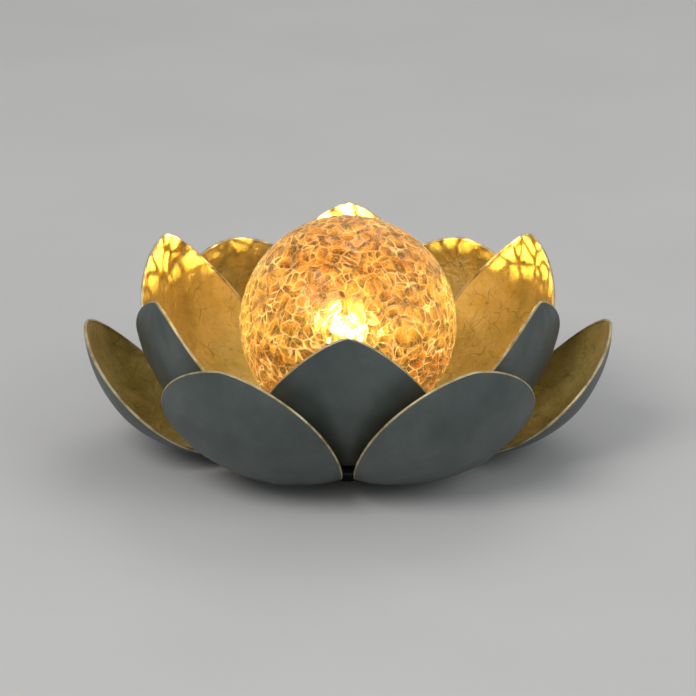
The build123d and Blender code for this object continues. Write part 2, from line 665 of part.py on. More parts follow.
# Circuit board with its components
board_top = BOARD_BOTTOM + BOARD_THICKNESS
with BuildPart() as circuit_board:
    with BuildSketch(Plane.XY.offset(BOARD_BOTTOM)):
        Circle(BOARD_RADIUS)
        with Locations((0, BOARD_EDGE_Y)):
            Rectangle(2 * BOARD_RADIUS, BOARD_RADIUS, align=(Align.CENTER, Align.MIN), mode=Mode.SUBTRACT)
        with Locations(*standoff_centres):
            Circle(STANDOFF_PIN_RADIUS, mode=Mode.SUBTRACT)
    extrude(amount=BOARD_THICKNESS)
    with BuildSketch(Plane.XY.offset(board_top)):
        with Locations(CHIP_CENTRE):
            Rectangle(*CHIP_SIZE)
        with Locations(*SMALL_PART_CENTRES):
            Rectangle(*SMALL_PART_SIZE)
    extrude(amount=CHIP_HEIGHT)
    with BuildSketch(Plane.XY.offset(board_top)):
        with Locations(COIL_CENTRE):
            Circle(COIL_RADIUS)
    extrude(amount=COIL_HEIGHT)
save(circuit_board, "circuit_board")

with BuildPart() as power_switch:
    with BuildSketch(Plane.XY.offset(SWITCH_BOTTOM)):
        with Locations((0, BUTTON_Y)):
            Rectangle(SWITCH_SIZE, SWITCH_SIZE)
    extrude(amount=BOARD_BOTTOM - SWITCH_BOTTOM)
    chamfer(power_switch.edges().filter_by(Axis.Z), HOUSING_ROUND)
save(power_switch, "power_switch")

# Push button under the lamp
with BuildPart() as power_button:
    with BuildSketch(Plane.XY.offset(BUTTON_BOTTOM)):
        with Locations((0, BUTTON_Y)):
            Circle(BUTTON_RADIUS)
    extrude(amount=COVER_TOP - BUTTON_BOTTOM)
    fillet(power_button.faces().sort_by(Axis.Z)[0].edges(), BUTTON_ROUND)
    with BuildSketch(Plane.XY.offset(BUTTON_BOTTOM)):
        with Locations((0, BUTTON_Y)):
            Circle(BUTTON_DIMPLE_RADIUS)
    extrude(amount=BUTTON_DIMPLE_DEPTH, mode=Mode.SUBTRACT)
    with BuildSketch(Plane.XY.offset(COVER_TOP)):
        with Locations((0, BUTTON_Y)):
            Circle(BUTTON_FLANGE_RADIUS)
    extrude(amount=BUTTON_FLANGE_THICKNESS)
    with BuildSketch(Plane.XY.offset(COVER_TOP + BUTTON_FLANGE_THICKNESS)):
        with Locations((0, BUTTON_Y)):
            Circle(BUTTON_PLUNGER_RADIUS)
    extrude(amount=BUTTON_TOP - COVER_TOP - BUTTON_FLANGE_THICKNESS)
save(power_button, "power_button")

# Rechargeable cell with its two contacts
with BuildPart() as battery:
    with BuildSketch(Plane.YZ.offset(CELL_START_X)):
        with Locations((CELL_Y, CELL_Z)):
            Circle(CELL_RADIUS)
    extrude(amount=CELL_LENGTH)
    fillet(battery.edges().filter_by(GeomType.CIRCLE), CELL_ROUND)
    with BuildSketch(Plane.YZ.offset(CELL_START_X)):
        with Locations((CELL_Y, CELL_Z)):
            Circle(CELL_NUB_RADIUS)
    extrude(amount=-CELL_NUB_LENGTH)
save(battery, "battery")

with BuildPart() as battery_contact:
    with BuildSketch(Plane.YZ.offset(contact_x)):
        with Locations((CELL_Y, CELL_Z)):
            Rectangle(CONTACT_SIZE, CONTACT_SIZE)
    extrude(amount=CONTACT_THICKNESS)
save(battery_contact, "battery_contact")

coil_length = SPRING_LENGTH - 2 * SPRING_WIRE_RADIUS + SPRING_BITE
spring_path = Helix(
    pitch=coil_length / SPRING_TURNS,
    height=coil_length,
    radius=SPRING_RADIUS,
    center=(CELL_START_X + CELL_LENGTH + SPRING_WIRE_RADIUS, CELL_Y, CELL_Z),
    direction=(1, 0, 0),
)
with BuildPart() as battery_spring:
    with BuildSketch(Plane(spring_path @ 0, z_dir=spring_path % 0)):
        Circle(SPRING_WIRE_RADIUS)
    sweep(path=spring_path)
    with BuildSketch(Plane.YZ.offset(spring_end_x)):
        with Locations((CELL_Y, CELL_Z)):
            Rectangle(CONTACT_SIZE, CONTACT_SIZE)
    extrude(amount=CONTACT_THICKNESS)
save(battery_spring, "battery_spring")

# Glass globe
with BuildPart() as glass_globe:
    with Locations((0, 0, GLOBE_CENTRE_Z)):
        Sphere(GLOBE_RADIUS)
        Sphere(GLOBE_RADIUS - GLASS_THICKNESS, mode=Mode.SUBTRACT)
    split(bisect_by=Plane.XY.offset(MOUTH_Z), keep=Keep.TOP)
save(glass_globe, "glass_globe")

# Collar in the globe's mouth, with three bayonet lugs
with BuildPart() as globe_collar:
    with BuildSketch(Plane.XY.offset(COLLAR_SKIRT_BOTTOM)):
        Circle(COLLAR_SKIRT_RADIUS)
        Circle(COLLAR_INNER_RADIUS, mode=Mode.SUBTRACT)
    extrude(amount=COLLAR_FLANGE_BOTTOM - COLLAR_SKIRT_BOTTOM)
    with BuildSketch(Plane.XY.offset(COLLAR_FLANGE_BOTTOM)):
        Circle(COLLAR_FLANGE_RADIUS)
        Circle(COLLAR_INNER_RADIUS, mode=Mode.SUBTRACT)
    extrude(amount=MOUTH_Z - COLLAR_FLANGE_BOTTOM)
    with BuildSketch(Plane.XY.offset(MOUTH_Z)):
        Circle(COLLAR_PLUG_RADIUS)
        Circle(COLLAR_PLUG_INNER_RADIUS, mode=Mode.SUBTRACT)
    extrude(amount=COLLAR_PLUG_TOP - MOUTH_Z)
    chamfer(globe_collar.faces().sort_by(Axis.Z)[-1].edges(), HOUSING_ROUND)
    for angle in hook_angles:
        with BuildSketch(Plane.XY.offset(LUG_BOTTOM).rotated((0, 0, angle - LUG_SPAN / 2))):
            with BuildLine():
                CenterArc((0, 0), LUG_ROOT_RADIUS, 0, LUG_SPAN)
                CenterArc((0, 0), LUG_OUTER_RADIUS, 0, LUG_SPAN)
                Line((LUG_ROOT_RADIUS, 0), (LUG_OUTER_RADIUS, 0))
                Line(polar(LUG_ROOT_RADIUS, LUG_SPAN), polar(LUG_OUTER_RADIUS, LUG_SPAN))
            make_face()
        extrude(amount=LUG_TOP - LUG_BOTTOM)
save(globe_collar, "globe_collar")

with BuildPart() as globe_seal:
    with BuildSketch(Plane.XY.offset(DECK_TOP)):
        Circle(GLOBE_SEAL_OUTER_RADIUS)
        Circle(GLOBE_SEAL_INNER_RADIUS, mode=Mode.SUBTRACT)
    extrude(amount=COLLAR_SKIRT_BOTTOM - DECK_TOP)
save(globe_seal, "globe_seal")
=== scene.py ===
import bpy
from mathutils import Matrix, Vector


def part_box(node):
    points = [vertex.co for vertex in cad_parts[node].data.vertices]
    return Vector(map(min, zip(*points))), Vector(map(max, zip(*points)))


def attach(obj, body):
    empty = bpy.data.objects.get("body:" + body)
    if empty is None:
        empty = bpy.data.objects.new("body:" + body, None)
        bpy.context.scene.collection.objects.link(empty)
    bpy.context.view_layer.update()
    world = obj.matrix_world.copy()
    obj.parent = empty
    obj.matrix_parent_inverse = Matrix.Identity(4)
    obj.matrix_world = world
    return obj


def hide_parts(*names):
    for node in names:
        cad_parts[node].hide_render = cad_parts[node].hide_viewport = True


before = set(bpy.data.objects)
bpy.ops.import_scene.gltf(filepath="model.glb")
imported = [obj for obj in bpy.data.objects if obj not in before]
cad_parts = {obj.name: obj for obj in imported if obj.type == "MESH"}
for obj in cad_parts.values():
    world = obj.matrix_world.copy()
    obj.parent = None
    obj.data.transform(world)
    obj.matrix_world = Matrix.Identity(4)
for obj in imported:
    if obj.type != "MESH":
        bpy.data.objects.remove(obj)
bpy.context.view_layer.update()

# Looks of the lotus globe light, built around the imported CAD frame. Metres, +Z up, front towards -Y.

import math

import bmesh
import bpy
import numpy as np
from mathutils import Vector

MM = 0.001

# ---------------------------------------------------------------- sizes shared with the CAD parts
SHEET = 1.0 * MM
PETALS_PER_RING = 6
PITCH = 360 / PETALS_PER_RING
FRONT = -90
TAB_HALF_WIDTH = 8.0 * MM

OUTER = dict(
    root=(47.6 * MM, 2.0 * MM), tip=(111.5 * MM, 71.3 * MM), bulge=22.2 * MM, cup=53.6 * MM,
    root_width=23.5 * MM, widest=43.7 * MM, widest_at=49.6 * MM, powers=(2.14, 0.53),
    tab_inner=39.4 * MM, tab_bottom=2.0 * MM,
)
INNER = dict(
    root=(44.0 * MM, 8.0 * MM), tip=(99.5 * MM, 88.0 * MM), bulge=20.0 * MM, cup=58.0 * MM,
    root_width=22.0 * MM, widest=40.0 * MM, widest_at=52.0 * MM, powers=(1.6, 0.62),
    tab_inner=31.2 * MM, tab_bottom=8.0 * MM,
)
OUTER_LEAN = (0.0, 8.7, 0.0, 0.0, 8.7, 0.0)

globe_low, globe_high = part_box("glass_globe")
GLOBE_RADIUS = (globe_high[0] - globe_low[0]) / 2
GLOBE_TOP_TO_CENTRE = 50.0 * MM
GLOBE_CENTRE = Vector((0, 0, globe_high[2] - GLOBE_TOP_TO_CENTRE))
GLASS = 2.0 * MM
MOUTH_Z = globe_low[2]
led_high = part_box("led_emitter")[1]


# ---------------------------------------------------------------- node materials
class Shader:
    """A small wrapper that builds one node material, so that each material below reads as a recipe."""

    def __init__(self, name):
        self.material = bpy.data.materials.new(name)
        self.material.use_nodes = True
        self.tree = self.material.node_tree
        self.tree.nodes.clear()
        self.out = self.tree.nodes.new("ShaderNodeOutputMaterial")
        self.coords = self.tree.nodes.new("ShaderNodeTexCoord").outputs["Object"]

    def put(self, socket, value):
        if isinstance(value, bpy.types.NodeSocket):
            self.tree.links.new(value, socket)
        else:
            socket.default_value = value

    def surface(self, socket):
        self.tree.links.new(socket, self.out.inputs["Surface"])
        return self.material

    def principled(self, **inputs):
        made = self.tree.nodes.new("ShaderNodeBsdfPrincipled")
        for key, value in inputs.items():
            self.put(made.inputs[key.replace("_", " ")], value)
        return made

    def noise(self, scale, detail=3.0, roughness=0.5, vector=None):
        made = self.tree.nodes.new("ShaderNodeTexNoise")
        self.put(made.inputs["Vector"], vector or self.coords)
        made.inputs["Scale"].default_value = scale
        made.inputs["Detail"].default_value = detail
        made.inputs["Roughness"].default_value = roughness
        return made

    def voronoi(self, scale, feature="F1", vector=None):
        made = self.tree.nodes.new("ShaderNodeTexVoronoi")
        made.feature = feature
        self.put(made.inputs["Vector"], vector or self.coords)
        made.inputs["Scale"].default_value = scale
        return made

    def ramp(self, factor, stops):
        made = self.tree.nodes.new("ShaderNodeValToRGB")
        elements = made.color_ramp.elements
        while len(elements) < len(stops):
            elements.new(0.5)
        for element, (place, colour) in zip(elements, stops):
            element.position = place
            element.color = (*colour, 1) if isinstance(colour, tuple) else (colour, colour, colour, 1)
        self.put(made.inputs["Fac"], factor)
        return made.outputs["Color"]

    def math(self, operation, a, b=0.0):
        made = self.tree.nodes.new("ShaderNodeMath")
        made.operation = operation
        self.put(made.inputs[0], a)
        self.put(made.inputs[1], b)
        return made.outputs[0]

    def scaled(self, value, factor, offset):
        """value * factor + offset, in one node."""
        made = self.tree.nodes.new("ShaderNodeMath")
        made.operation = "MULTIPLY_ADD"
        self.put(made.inputs[0], value)
        self.put(made.inputs[1], factor)
        self.put(made.inputs[2], offset)
        return made.outputs[0]

    def vector(self, operation, a, b, output="Vector"):
        made = self.tree.nodes.new("ShaderNodeVectorMath")
        made.operation = operation
        self.put(made.inputs[0], a)
        self.put(made.inputs[1], b)
        return made.outputs[output]

    def mix(self, factor, a, b, blend="MIX"):
        made = self.tree.nodes.new("ShaderNodeMix")
        made.data_type = "RGBA"
        made.blend_type = blend
        self.put(made.inputs[0], factor)
        self.put(made.inputs[6], a if isinstance(a, bpy.types.NodeSocket) else (*a, 1))
        self.put(made.inputs[7], b if isinstance(b, bpy.types.NodeSocket) else (*b, 1))
        return made.outputs[2]

    def bump(self, height, strength, distance, normal=None):
        made = self.tree.nodes.new("ShaderNodeBump")
        made.inputs["Strength"].default_value = strength
        made.inputs["Distance"].default_value = distance
        self.put(made.inputs["Height"], height)
        if normal:
            self.put(made.inputs["Normal"], normal)
        return made.outputs["Normal"]

    def warped(self, scale, amount):
        """Object coordinates pushed about by a soft noise, so that cells and lines bend."""
        noise = self.noise(scale, 2.0)
        shift = self.tree.nodes.new("ShaderNodeVectorMath")
        shift.operation = "MULTIPLY_ADD"
        self.put(shift.inputs[0], noise.outputs["Color"])
        shift.inputs[1].default_value = (amount, amount, amount)
        self.put(shift.inputs[2], self.coords)
        return shift.outputs[0]


def slate_paint():
    """Satin slate paint with a soft mottle, orange peel and fine dust-like specks."""
    s = Shader("slate_paint")
    mottle = s.noise(26, 6.0, 0.66).outputs["Fac"]
    colour = s.ramp(mottle, [
        (0.30, (0.043, 0.058, 0.055)),
        (0.52, (0.070, 0.089, 0.083)),
        (0.72, (0.106, 0.126, 0.115)),
    ])
    specks = s.ramp(s.voronoi(900).outputs["Distance"], [(0.0, 1.0), (0.10, 0.0)])
    colour = s.mix(s.math("MULTIPLY", specks, 0.10), colour, (0.20, 0.23, 0.22))
    rough = s.scaled(s.noise(60, 3.0).outputs["Fac"], 0.16, 0.36)
    peel = s.noise(700, 2.0).outputs["Fac"]
    dents = s.noise(55, 2.0).outputs["Fac"]
    normal = s.bump(peel, 0.10, 0.0002)
    normal = s.bump(dents, 0.25, 0.0006, normal)
    shader = s.principled(Base_Color=colour, Roughness=rough, Normal=normal)
    shader.inputs["Specular IOR Level"].default_value = 0.55
    return s.surface(shader.outputs[0])


def gold_leaf():
    """Leafed gold: crinkled metal with broken leaf seams and warm patches."""
    s = Shader("gold_leaf")
    bent = s.warped(70, 0.016)
    patches = s.noise(34, 5.0, 0.62).outputs["Fac"]
    colour = s.ramp(patches, [
        (0.28, (0.42, 0.285, 0.050)),
        (0.50, (0.66, 0.46, 0.105)),
        (0.75, (0.85, 0.64, 0.20)),
    ])
    seams = s.voronoi(75, "DISTANCE_TO_EDGE", bent).outputs["Distance"]
    edge = s.ramp(seams, [(0.0, 1.0), (0.03, 0.0)])
    broken = s.ramp(s.noise(95, 3.0).outputs["Fac"], [(0.46, 0.0), (0.60, 1.0)])
    seam = s.math("MULTIPLY", s.math("MULTIPLY", edge, broken), 0.55)
    colour = s.mix(seam, colour, (0.19, 0.11, 0.02))
    freckles = s.ramp(s.noise(420, 3.0, 0.65).outputs["Fac"], [(0.58, 0.0), (0.68, 1.0)])
    colour = s.mix(s.math("MULTIPLY", freckles, 0.45), colour, (0.30, 0.18, 0.03))
    rough = s.scaled(s.noise(240, 4.0).outputs["Fac"], 0.26, 0.34)
    crinkle = s.noise(260, 5.0, 0.62, bent).outputs["Fac"]
    dents = s.noise(70, 3.0, 0.5).outputs["Fac"]
    normal = s.bump(crinkle, 0.65, 0.0009)
    normal = s.bump(dents, 0.55, 0.0022, normal)
    shader = s.principled(Base_Color=colour, Roughness=rough, Normal=normal)
    shader.inputs["Metallic"].default_value = 0.62
    return s.surface(shader.outputs[0])


def cream_rim():
    """The rolled edge, brushed with pale gold that wears through in places."""
    s = Shader("cream_rim")
    worn = s.noise(160, 4.0, 0.6).outputs["Fac"]
    colour = s.ramp(worn, [
        (0.30, (0.33, 0.24, 0.10)),
        (0.50, (0.62, 0.50, 0.27)),
        (0.75, (0.78, 0.68, 0.45)),
    ])
    normal = s.bump(s.noise(900, 3.0).outputs["Fac"], 0.3, 0.0003)
    rough = s.scaled(s.noise(400, 2.0).outputs["Fac"], 0.2, 0.30)
    shader = s.principled(Base_Color=colour, Roughness=rough, Normal=normal)
    shader.inputs["Metallic"].default_value = 0.55
    return s.surface(shader.outputs[0])


CRACK_SCALE = 200       # cells per metre of the wide cracks, about 5 mm each


def crack_lines(s):
    """The globe's wide cracks: the bent coordinates, and the distance to the nearest crack."""
    bent = s.warped(55, 0.014)
    return bent, s.voronoi(CRACK_SCALE, "DISTANCE_TO_EDGE", bent).outputs["Distance"]


def amber_crackle():
    """Amber glass shattered inside into fine facets, glowing along its cracks. The glow is painted
    emission for the LED's light scattered in the glass, brightest along the cracks and around the LED's
    height.
    """
    s = Shader("amber_crackle")
    bent, wide = crack_lines(s)
    fine = s.voronoi(480, "DISTANCE_TO_EDGE", bent).outputs["Distance"]
    cell = s.voronoi(CRACK_SCALE, "F1", bent)
    # Every cell is one of the glass's facets, with painted light and shade running from dark to bright in
    # a direction of its own
    offset = s.vector("SUBTRACT", bent, cell.outputs["Position"])
    heading = s.vector("SUBTRACT", cell.outputs["Color"], (0.5, 0.5, 0.5))
    facet_shade_and_relief = s.scaled(s.vector("DOT_PRODUCT", offset, heading, "Value"), 420.0, 0.50)
    shade = s.tree.nodes.new("ShaderNodeSeparateColor")
    s.put(shade.inputs[0], cell.outputs["Color"])
    unevenness = s.ramp(s.noise(120, 3.0).outputs["Fac"], [(0.36, 0.18), (0.62, 1.0)])
    crack = s.math("MULTIPLY", s.ramp(wide, [(0.0, 1.0), (0.035, 0.7), (0.10, 0.0)]), unevenness)
    hair = s.math("MULTIPLY", s.ramp(fine, [(0.0, 1.0), (0.10, 0.0)]), 0.38)
    lines = s.math("MAXIMUM", crack, hair)
    # Colour darker and redder towards the bottom and yellower higher up, with some low cells turned dark
    # red; this colour is also the painted glow's colour
    height = s.tree.nodes.new("ShaderNodeSeparateXYZ")
    s.put(height.inputs[0], s.coords)
    rise = s.math("MULTIPLY", height.outputs[2], 9.0)
    drift = s.scaled(s.noise(26, 3.0, 0.6).outputs["Fac"], 0.30, rise)
    depth = [
        (0.36, (0.34, 0.085, 0.008)),
        (0.58, (0.76, 0.34, 0.036)),
        (0.78, (0.94, 0.55, 0.090)),
        (1.0, (0.84, 0.42, 0.050)),
    ]
    picked = s.ramp(shade.outputs[1], [(0.62, 0.0), (0.78, 1.0)])
    ember = s.math("MULTIPLY", picked, s.ramp(drift, [(0.44, 0.9), (0.66, 0.0)]))
    tinted = s.mix(ember, s.ramp(drift, depth), (0.50, 0.045, 0.006))
    # The facets' painted light and shade darkens the amber
    amber = s.mix(1.0, tinted, s.ramp(facet_shade_and_relief, [(0.15, 0.22), (0.50, 0.62), (0.85, 1.0)]), "MULTIPLY")
    # The cracks are pale cream: partly their own colour, partly a painted highlight of the LED's light
    # caught in them
    body = s.mix(lines, amber, (1.0, 0.74, 0.30))
    # Painted glow: the emission is stronger along the cracks, over an even base
    power = s.scaled(lines, 0.50, 0.26)
    normal = s.bump(facet_shade_and_relief, 0.55, 0.0016)
    normal = s.bump(fine, 0.4, 0.0006, normal)
    # The glass's colour is also the colour of its painted glow
    glass = s.principled(Base_Color=body, Normal=normal, Emission_Color=body)
    # A band of painted glow, brightest around the LED's height and dimmer below and above
    painted_glow_band = s.ramp(rise, [(0.25, 0.60), (0.56, 1.0), (0.72, 0.88), (0.95, 0.70)])
    s.put(glass.inputs["Emission Strength"], s.math("MULTIPLY", power, painted_glow_band))
    glass.inputs["Roughness"].default_value = 0.20
    glass.inputs["IOR"].default_value = 1.45
    glass.inputs["Transmission Weight"].default_value = 0.97
    glass.inputs["Specular IOR Level"].default_value = 0.25
    return s.surface(glass.outputs[0])


def lens_material():
    """The light's clear lens, itself bright."""
    s = Shader("lit_lens")
    swirl = s.noise(300, 2.0).outputs["Fac"]
    glass = s.principled(Base_Color=(1.0, 0.94, 0.8, 1), Normal=s.bump(swirl, 0.1, 0.0002))
    glass.inputs["Emission Color"].default_value = (1.0, 0.79, 0.37, 1)
    glass.inputs["Emission Strength"].default_value = 4.2
    glass.inputs["Roughness"].default_value = 0.08
    glass.inputs["Transmission Weight"].default_value = 1.0
    return s.surface(glass.outputs[0])


GRAIN_DEPTH = 0.3 * MM


def plain(name, dark, light, rough, scale, grain=900, bump=0.25, metallic=0.0):
    """A moulded, cast or coated surface: two tones of one colour, uneven gloss and a fine grain."""
    s = Shader(name)
    tone = s.noise(scale, 4.0, 0.6).outputs["Fac"]
    colour = s.ramp(tone, [(0.32, dark), (0.70, light)])
    gloss = s.scaled(s.noise(scale * 2.5, 3.0).outputs["Fac"], 0.14, rough - 0.07)
    normal = s.bump(s.noise(grain, 3.0).outputs["Fac"], bump, GRAIN_DEPTH)
    shader = s.principled(Base_Color=colour, Roughness=gloss, Normal=normal)
    shader.inputs["Metallic"].default_value = metallic
    return s.surface(shader.outputs[0])


def brushed(name, dark, light, rough):
    """Drawn or turned metal with fine streaks."""
    s = Shader(name)
    stretch = s.tree.nodes.new("ShaderNodeVectorMath")
    stretch.operation = "MULTIPLY"
    s.put(stretch.inputs[0], s.coords)
    stretch.inputs[1].default_value = (1.0, 1.0, 9.0)
    streaks = s.noise(500, 4.0, 0.6, stretch.outputs[0]).outputs["Fac"]
    colour = s.ramp(streaks, [(0.3, dark), (0.7, light)])
    gloss = s.scaled(streaks, 0.2, rough - 0.1)
    shader = s.principled(Base_Color=colour, Roughness=gloss, Normal=s.bump(streaks, 0.2, 0.0002))
    shader.inputs["Metallic"].default_value = 1.0
    return s.surface(shader.outputs[0])


def foam():
    """Closed-cell foam: a fine pitted skin."""
    s = Shader("float_foam")
    cells = s.voronoi(650).outputs["Distance"]
    # The colour is darker in the pits of the bump: painted shade in the recesses
    colour = s.ramp(cells, [(0.0, (0.018, 0.020, 0.020)), (0.6, (0.060, 0.064, 0.062))])
    shader = s.principled(Base_Color=colour, Normal=s.bump(cells, 0.7, 0.0006))
    shader.inputs["Roughness"].default_value = 0.85
    return s.surface(shader.outputs[0])


def solar_cells():
    """Dark blue cells under clear resin, with thin silver fingers and busbars."""
    s = Shader("solar_cells")
    parts = s.tree.nodes.new("ShaderNodeSeparateXYZ")
    s.put(parts.inputs[0], s.coords)
    x, y = parts.outputs[0], parts.outputs[1]
    finger = s.math("LESS_THAN", s.math("PINGPONG", x, 0.0009), 0.00012)
    bus = s.math("LESS_THAN", s.math("PINGPONG", y, 0.0055), 0.0004)
    lines = s.math("MAXIMUM", finger, bus)
    crystal = s.voronoi(220).outputs["Color"]
    tone = s.mix(s.math("MULTIPLY", crystal, 0.5), (0.006, 0.012, 0.050), (0.016, 0.030, 0.110))
    colour = s.mix(s.math("MULTIPLY", lines, 0.8), tone, (0.48, 0.50, 0.54))
    resin = s.bump(s.noise(90, 2.0).outputs["Fac"], 0.12, 0.0004)
    shader = s.principled(Base_Color=colour, Normal=resin)
    shader.inputs["Roughness"].default_value = 0.22
    shader.inputs["Coat Weight"].default_value = 0.6
    shader.inputs["Coat Roughness"].default_value = 0.06
    return s.surface(shader.outputs[0])


def circuit_laminate():
    """Green solder mask over copper tracks."""
    s = Shader("circuit_laminate")
    tracks = s.voronoi(260, "DISTANCE_TO_EDGE").outputs["Distance"]
    line = s.ramp(tracks, [(0.04, 1.0), (0.09, 0.0)])
    tone = s.noise(50, 3.0).outputs["Fac"]
    green = s.ramp(tone, [(0.3, (0.008, 0.075, 0.024)), (0.7, (0.014, 0.110, 0.036))])
    colour = s.mix(s.math("MULTIPLY", line, 0.6), green, (0.040, 0.22, 0.075))
    shader = s.principled(Base_Color=colour, Normal=s.bump(line, 0.3, 0.0002))
    shader.inputs["Roughness"].default_value = 0.32
    return s.surface(shader.outputs[0])


# ---------------------------------------------------------------- mesh building
def new_object(name, vertices, faces, slots, materials, smooth=True):
    """Mesh object with outward normals; slots holds one material index per face."""
    mesh = bpy.data.meshes.new(name)
    mesh.from_pydata([tuple(v) for v in vertices], [], faces)
    for material in materials:
        mesh.materials.append(material)
    mesh.polygons.foreach_set("material_index", slots)
    mesh.polygons.foreach_set("use_smooth", [smooth] * len(faces))
    mesh.validate()
    mesh.update()
    made = bpy.data.objects.new(name, mesh)
    bpy.context.scene.collection.objects.link(made)
    return made


class PetalShape:
    """The doubly curved sheet of one petal.

    along runs from root to tip, across is sideways, and depth goes inwards."""

    def __init__(self, spec, lean):
        self.spec = spec
        root, tip = spec["root"], spec["tip"]
        run, rise = tip[0] - root[0], tip[1] - root[1]
        self.length = math.hypot(run, rise)
        slope = math.atan2(rise, run) - math.radians(lean)
        self.start = np.array([root[0], 0, root[1]])
        self.forward = np.array([math.cos(slope), 0, math.sin(slope)])
        self.outward = np.array([math.sin(slope), 0, -math.cos(slope)])
        self.arc = (self.length ** 2 / 4 + spec["bulge"] ** 2) / (2 * spec["bulge"])

    def half_width(self, along):
        spec = self.spec
        if along <= spec["widest_at"]:
            turn = math.sin(math.pi / 2 * along / spec["widest_at"])
            return spec["root_width"] + (spec["widest"] - spec["root_width"]) * turn
        beyond = min(1.0, (along - spec["widest_at"]) / (self.length - spec["widest_at"]))
        return spec["widest"] * (1 - beyond ** spec["powers"][0]) ** spec["powers"][1]

    def point(self, along, across, depth):
        swing = math.asin(max(-1.0, min(1.0, (along - self.length / 2) / self.arc)))
        skin = self.arc * math.cos(swing) - (self.arc - self.spec["bulge"]) + self.spec["cup"]
        turn = math.asin(max(-1.0, min(1.0, across / skin)))
        ahead = self.length / 2 + (self.arc - depth) * math.sin(swing)
        reach = (self.arc - depth) * math.cos(swing) - (self.arc - self.spec["bulge"]) + self.spec["cup"]
        height = reach * math.cos(turn) - self.spec["cup"]
        place = self.start + self.forward * ahead + self.outward * height
        return place + np.array([0, reach * math.sin(turn), 0])


RIM_RADIUS = 0.72 * MM
RIM_STEPS = 7
RIM_INSET = 0.90 * MM       # from the CAD outline in to the centre of the rolled edge
PETAL_ROWS = 44
PETAL_COLUMNS = 30
WAVE = 0.22 * MM
TAB_REACH = 1.6 * MM        # how far the tab runs past the petal's root
TAB_BEVEL = 1.5 * MM
CREASE = math.radians(35)   # edges bent further than this are drawn sharp
SLATE_SLOT, GOLD_SLOT, RIM_SLOT = 0, 1, 2


def waviness(along, across, length, width, phase):
    """Slow unevenness of hand-bent sheet, fading out at the petal's edge."""
    u, v = along / length, across / max(width, 1e-6)
    fade = max(0.0, 1 - abs(v) ** 4) * max(0.0, 1 - (2 * u - 1) ** 6)
    # Three crossed waves that share no period
    wave = math.sin(7.3 * u + 3.1 * v + phase) + 0.7 * math.sin(11.9 * v - 5.2 * u + 2.3 * phase)
    wave += 0.5 * math.sin(19.1 * u + 9.7 * v * v + 1.7 * phase)
    return WAVE * fade * wave


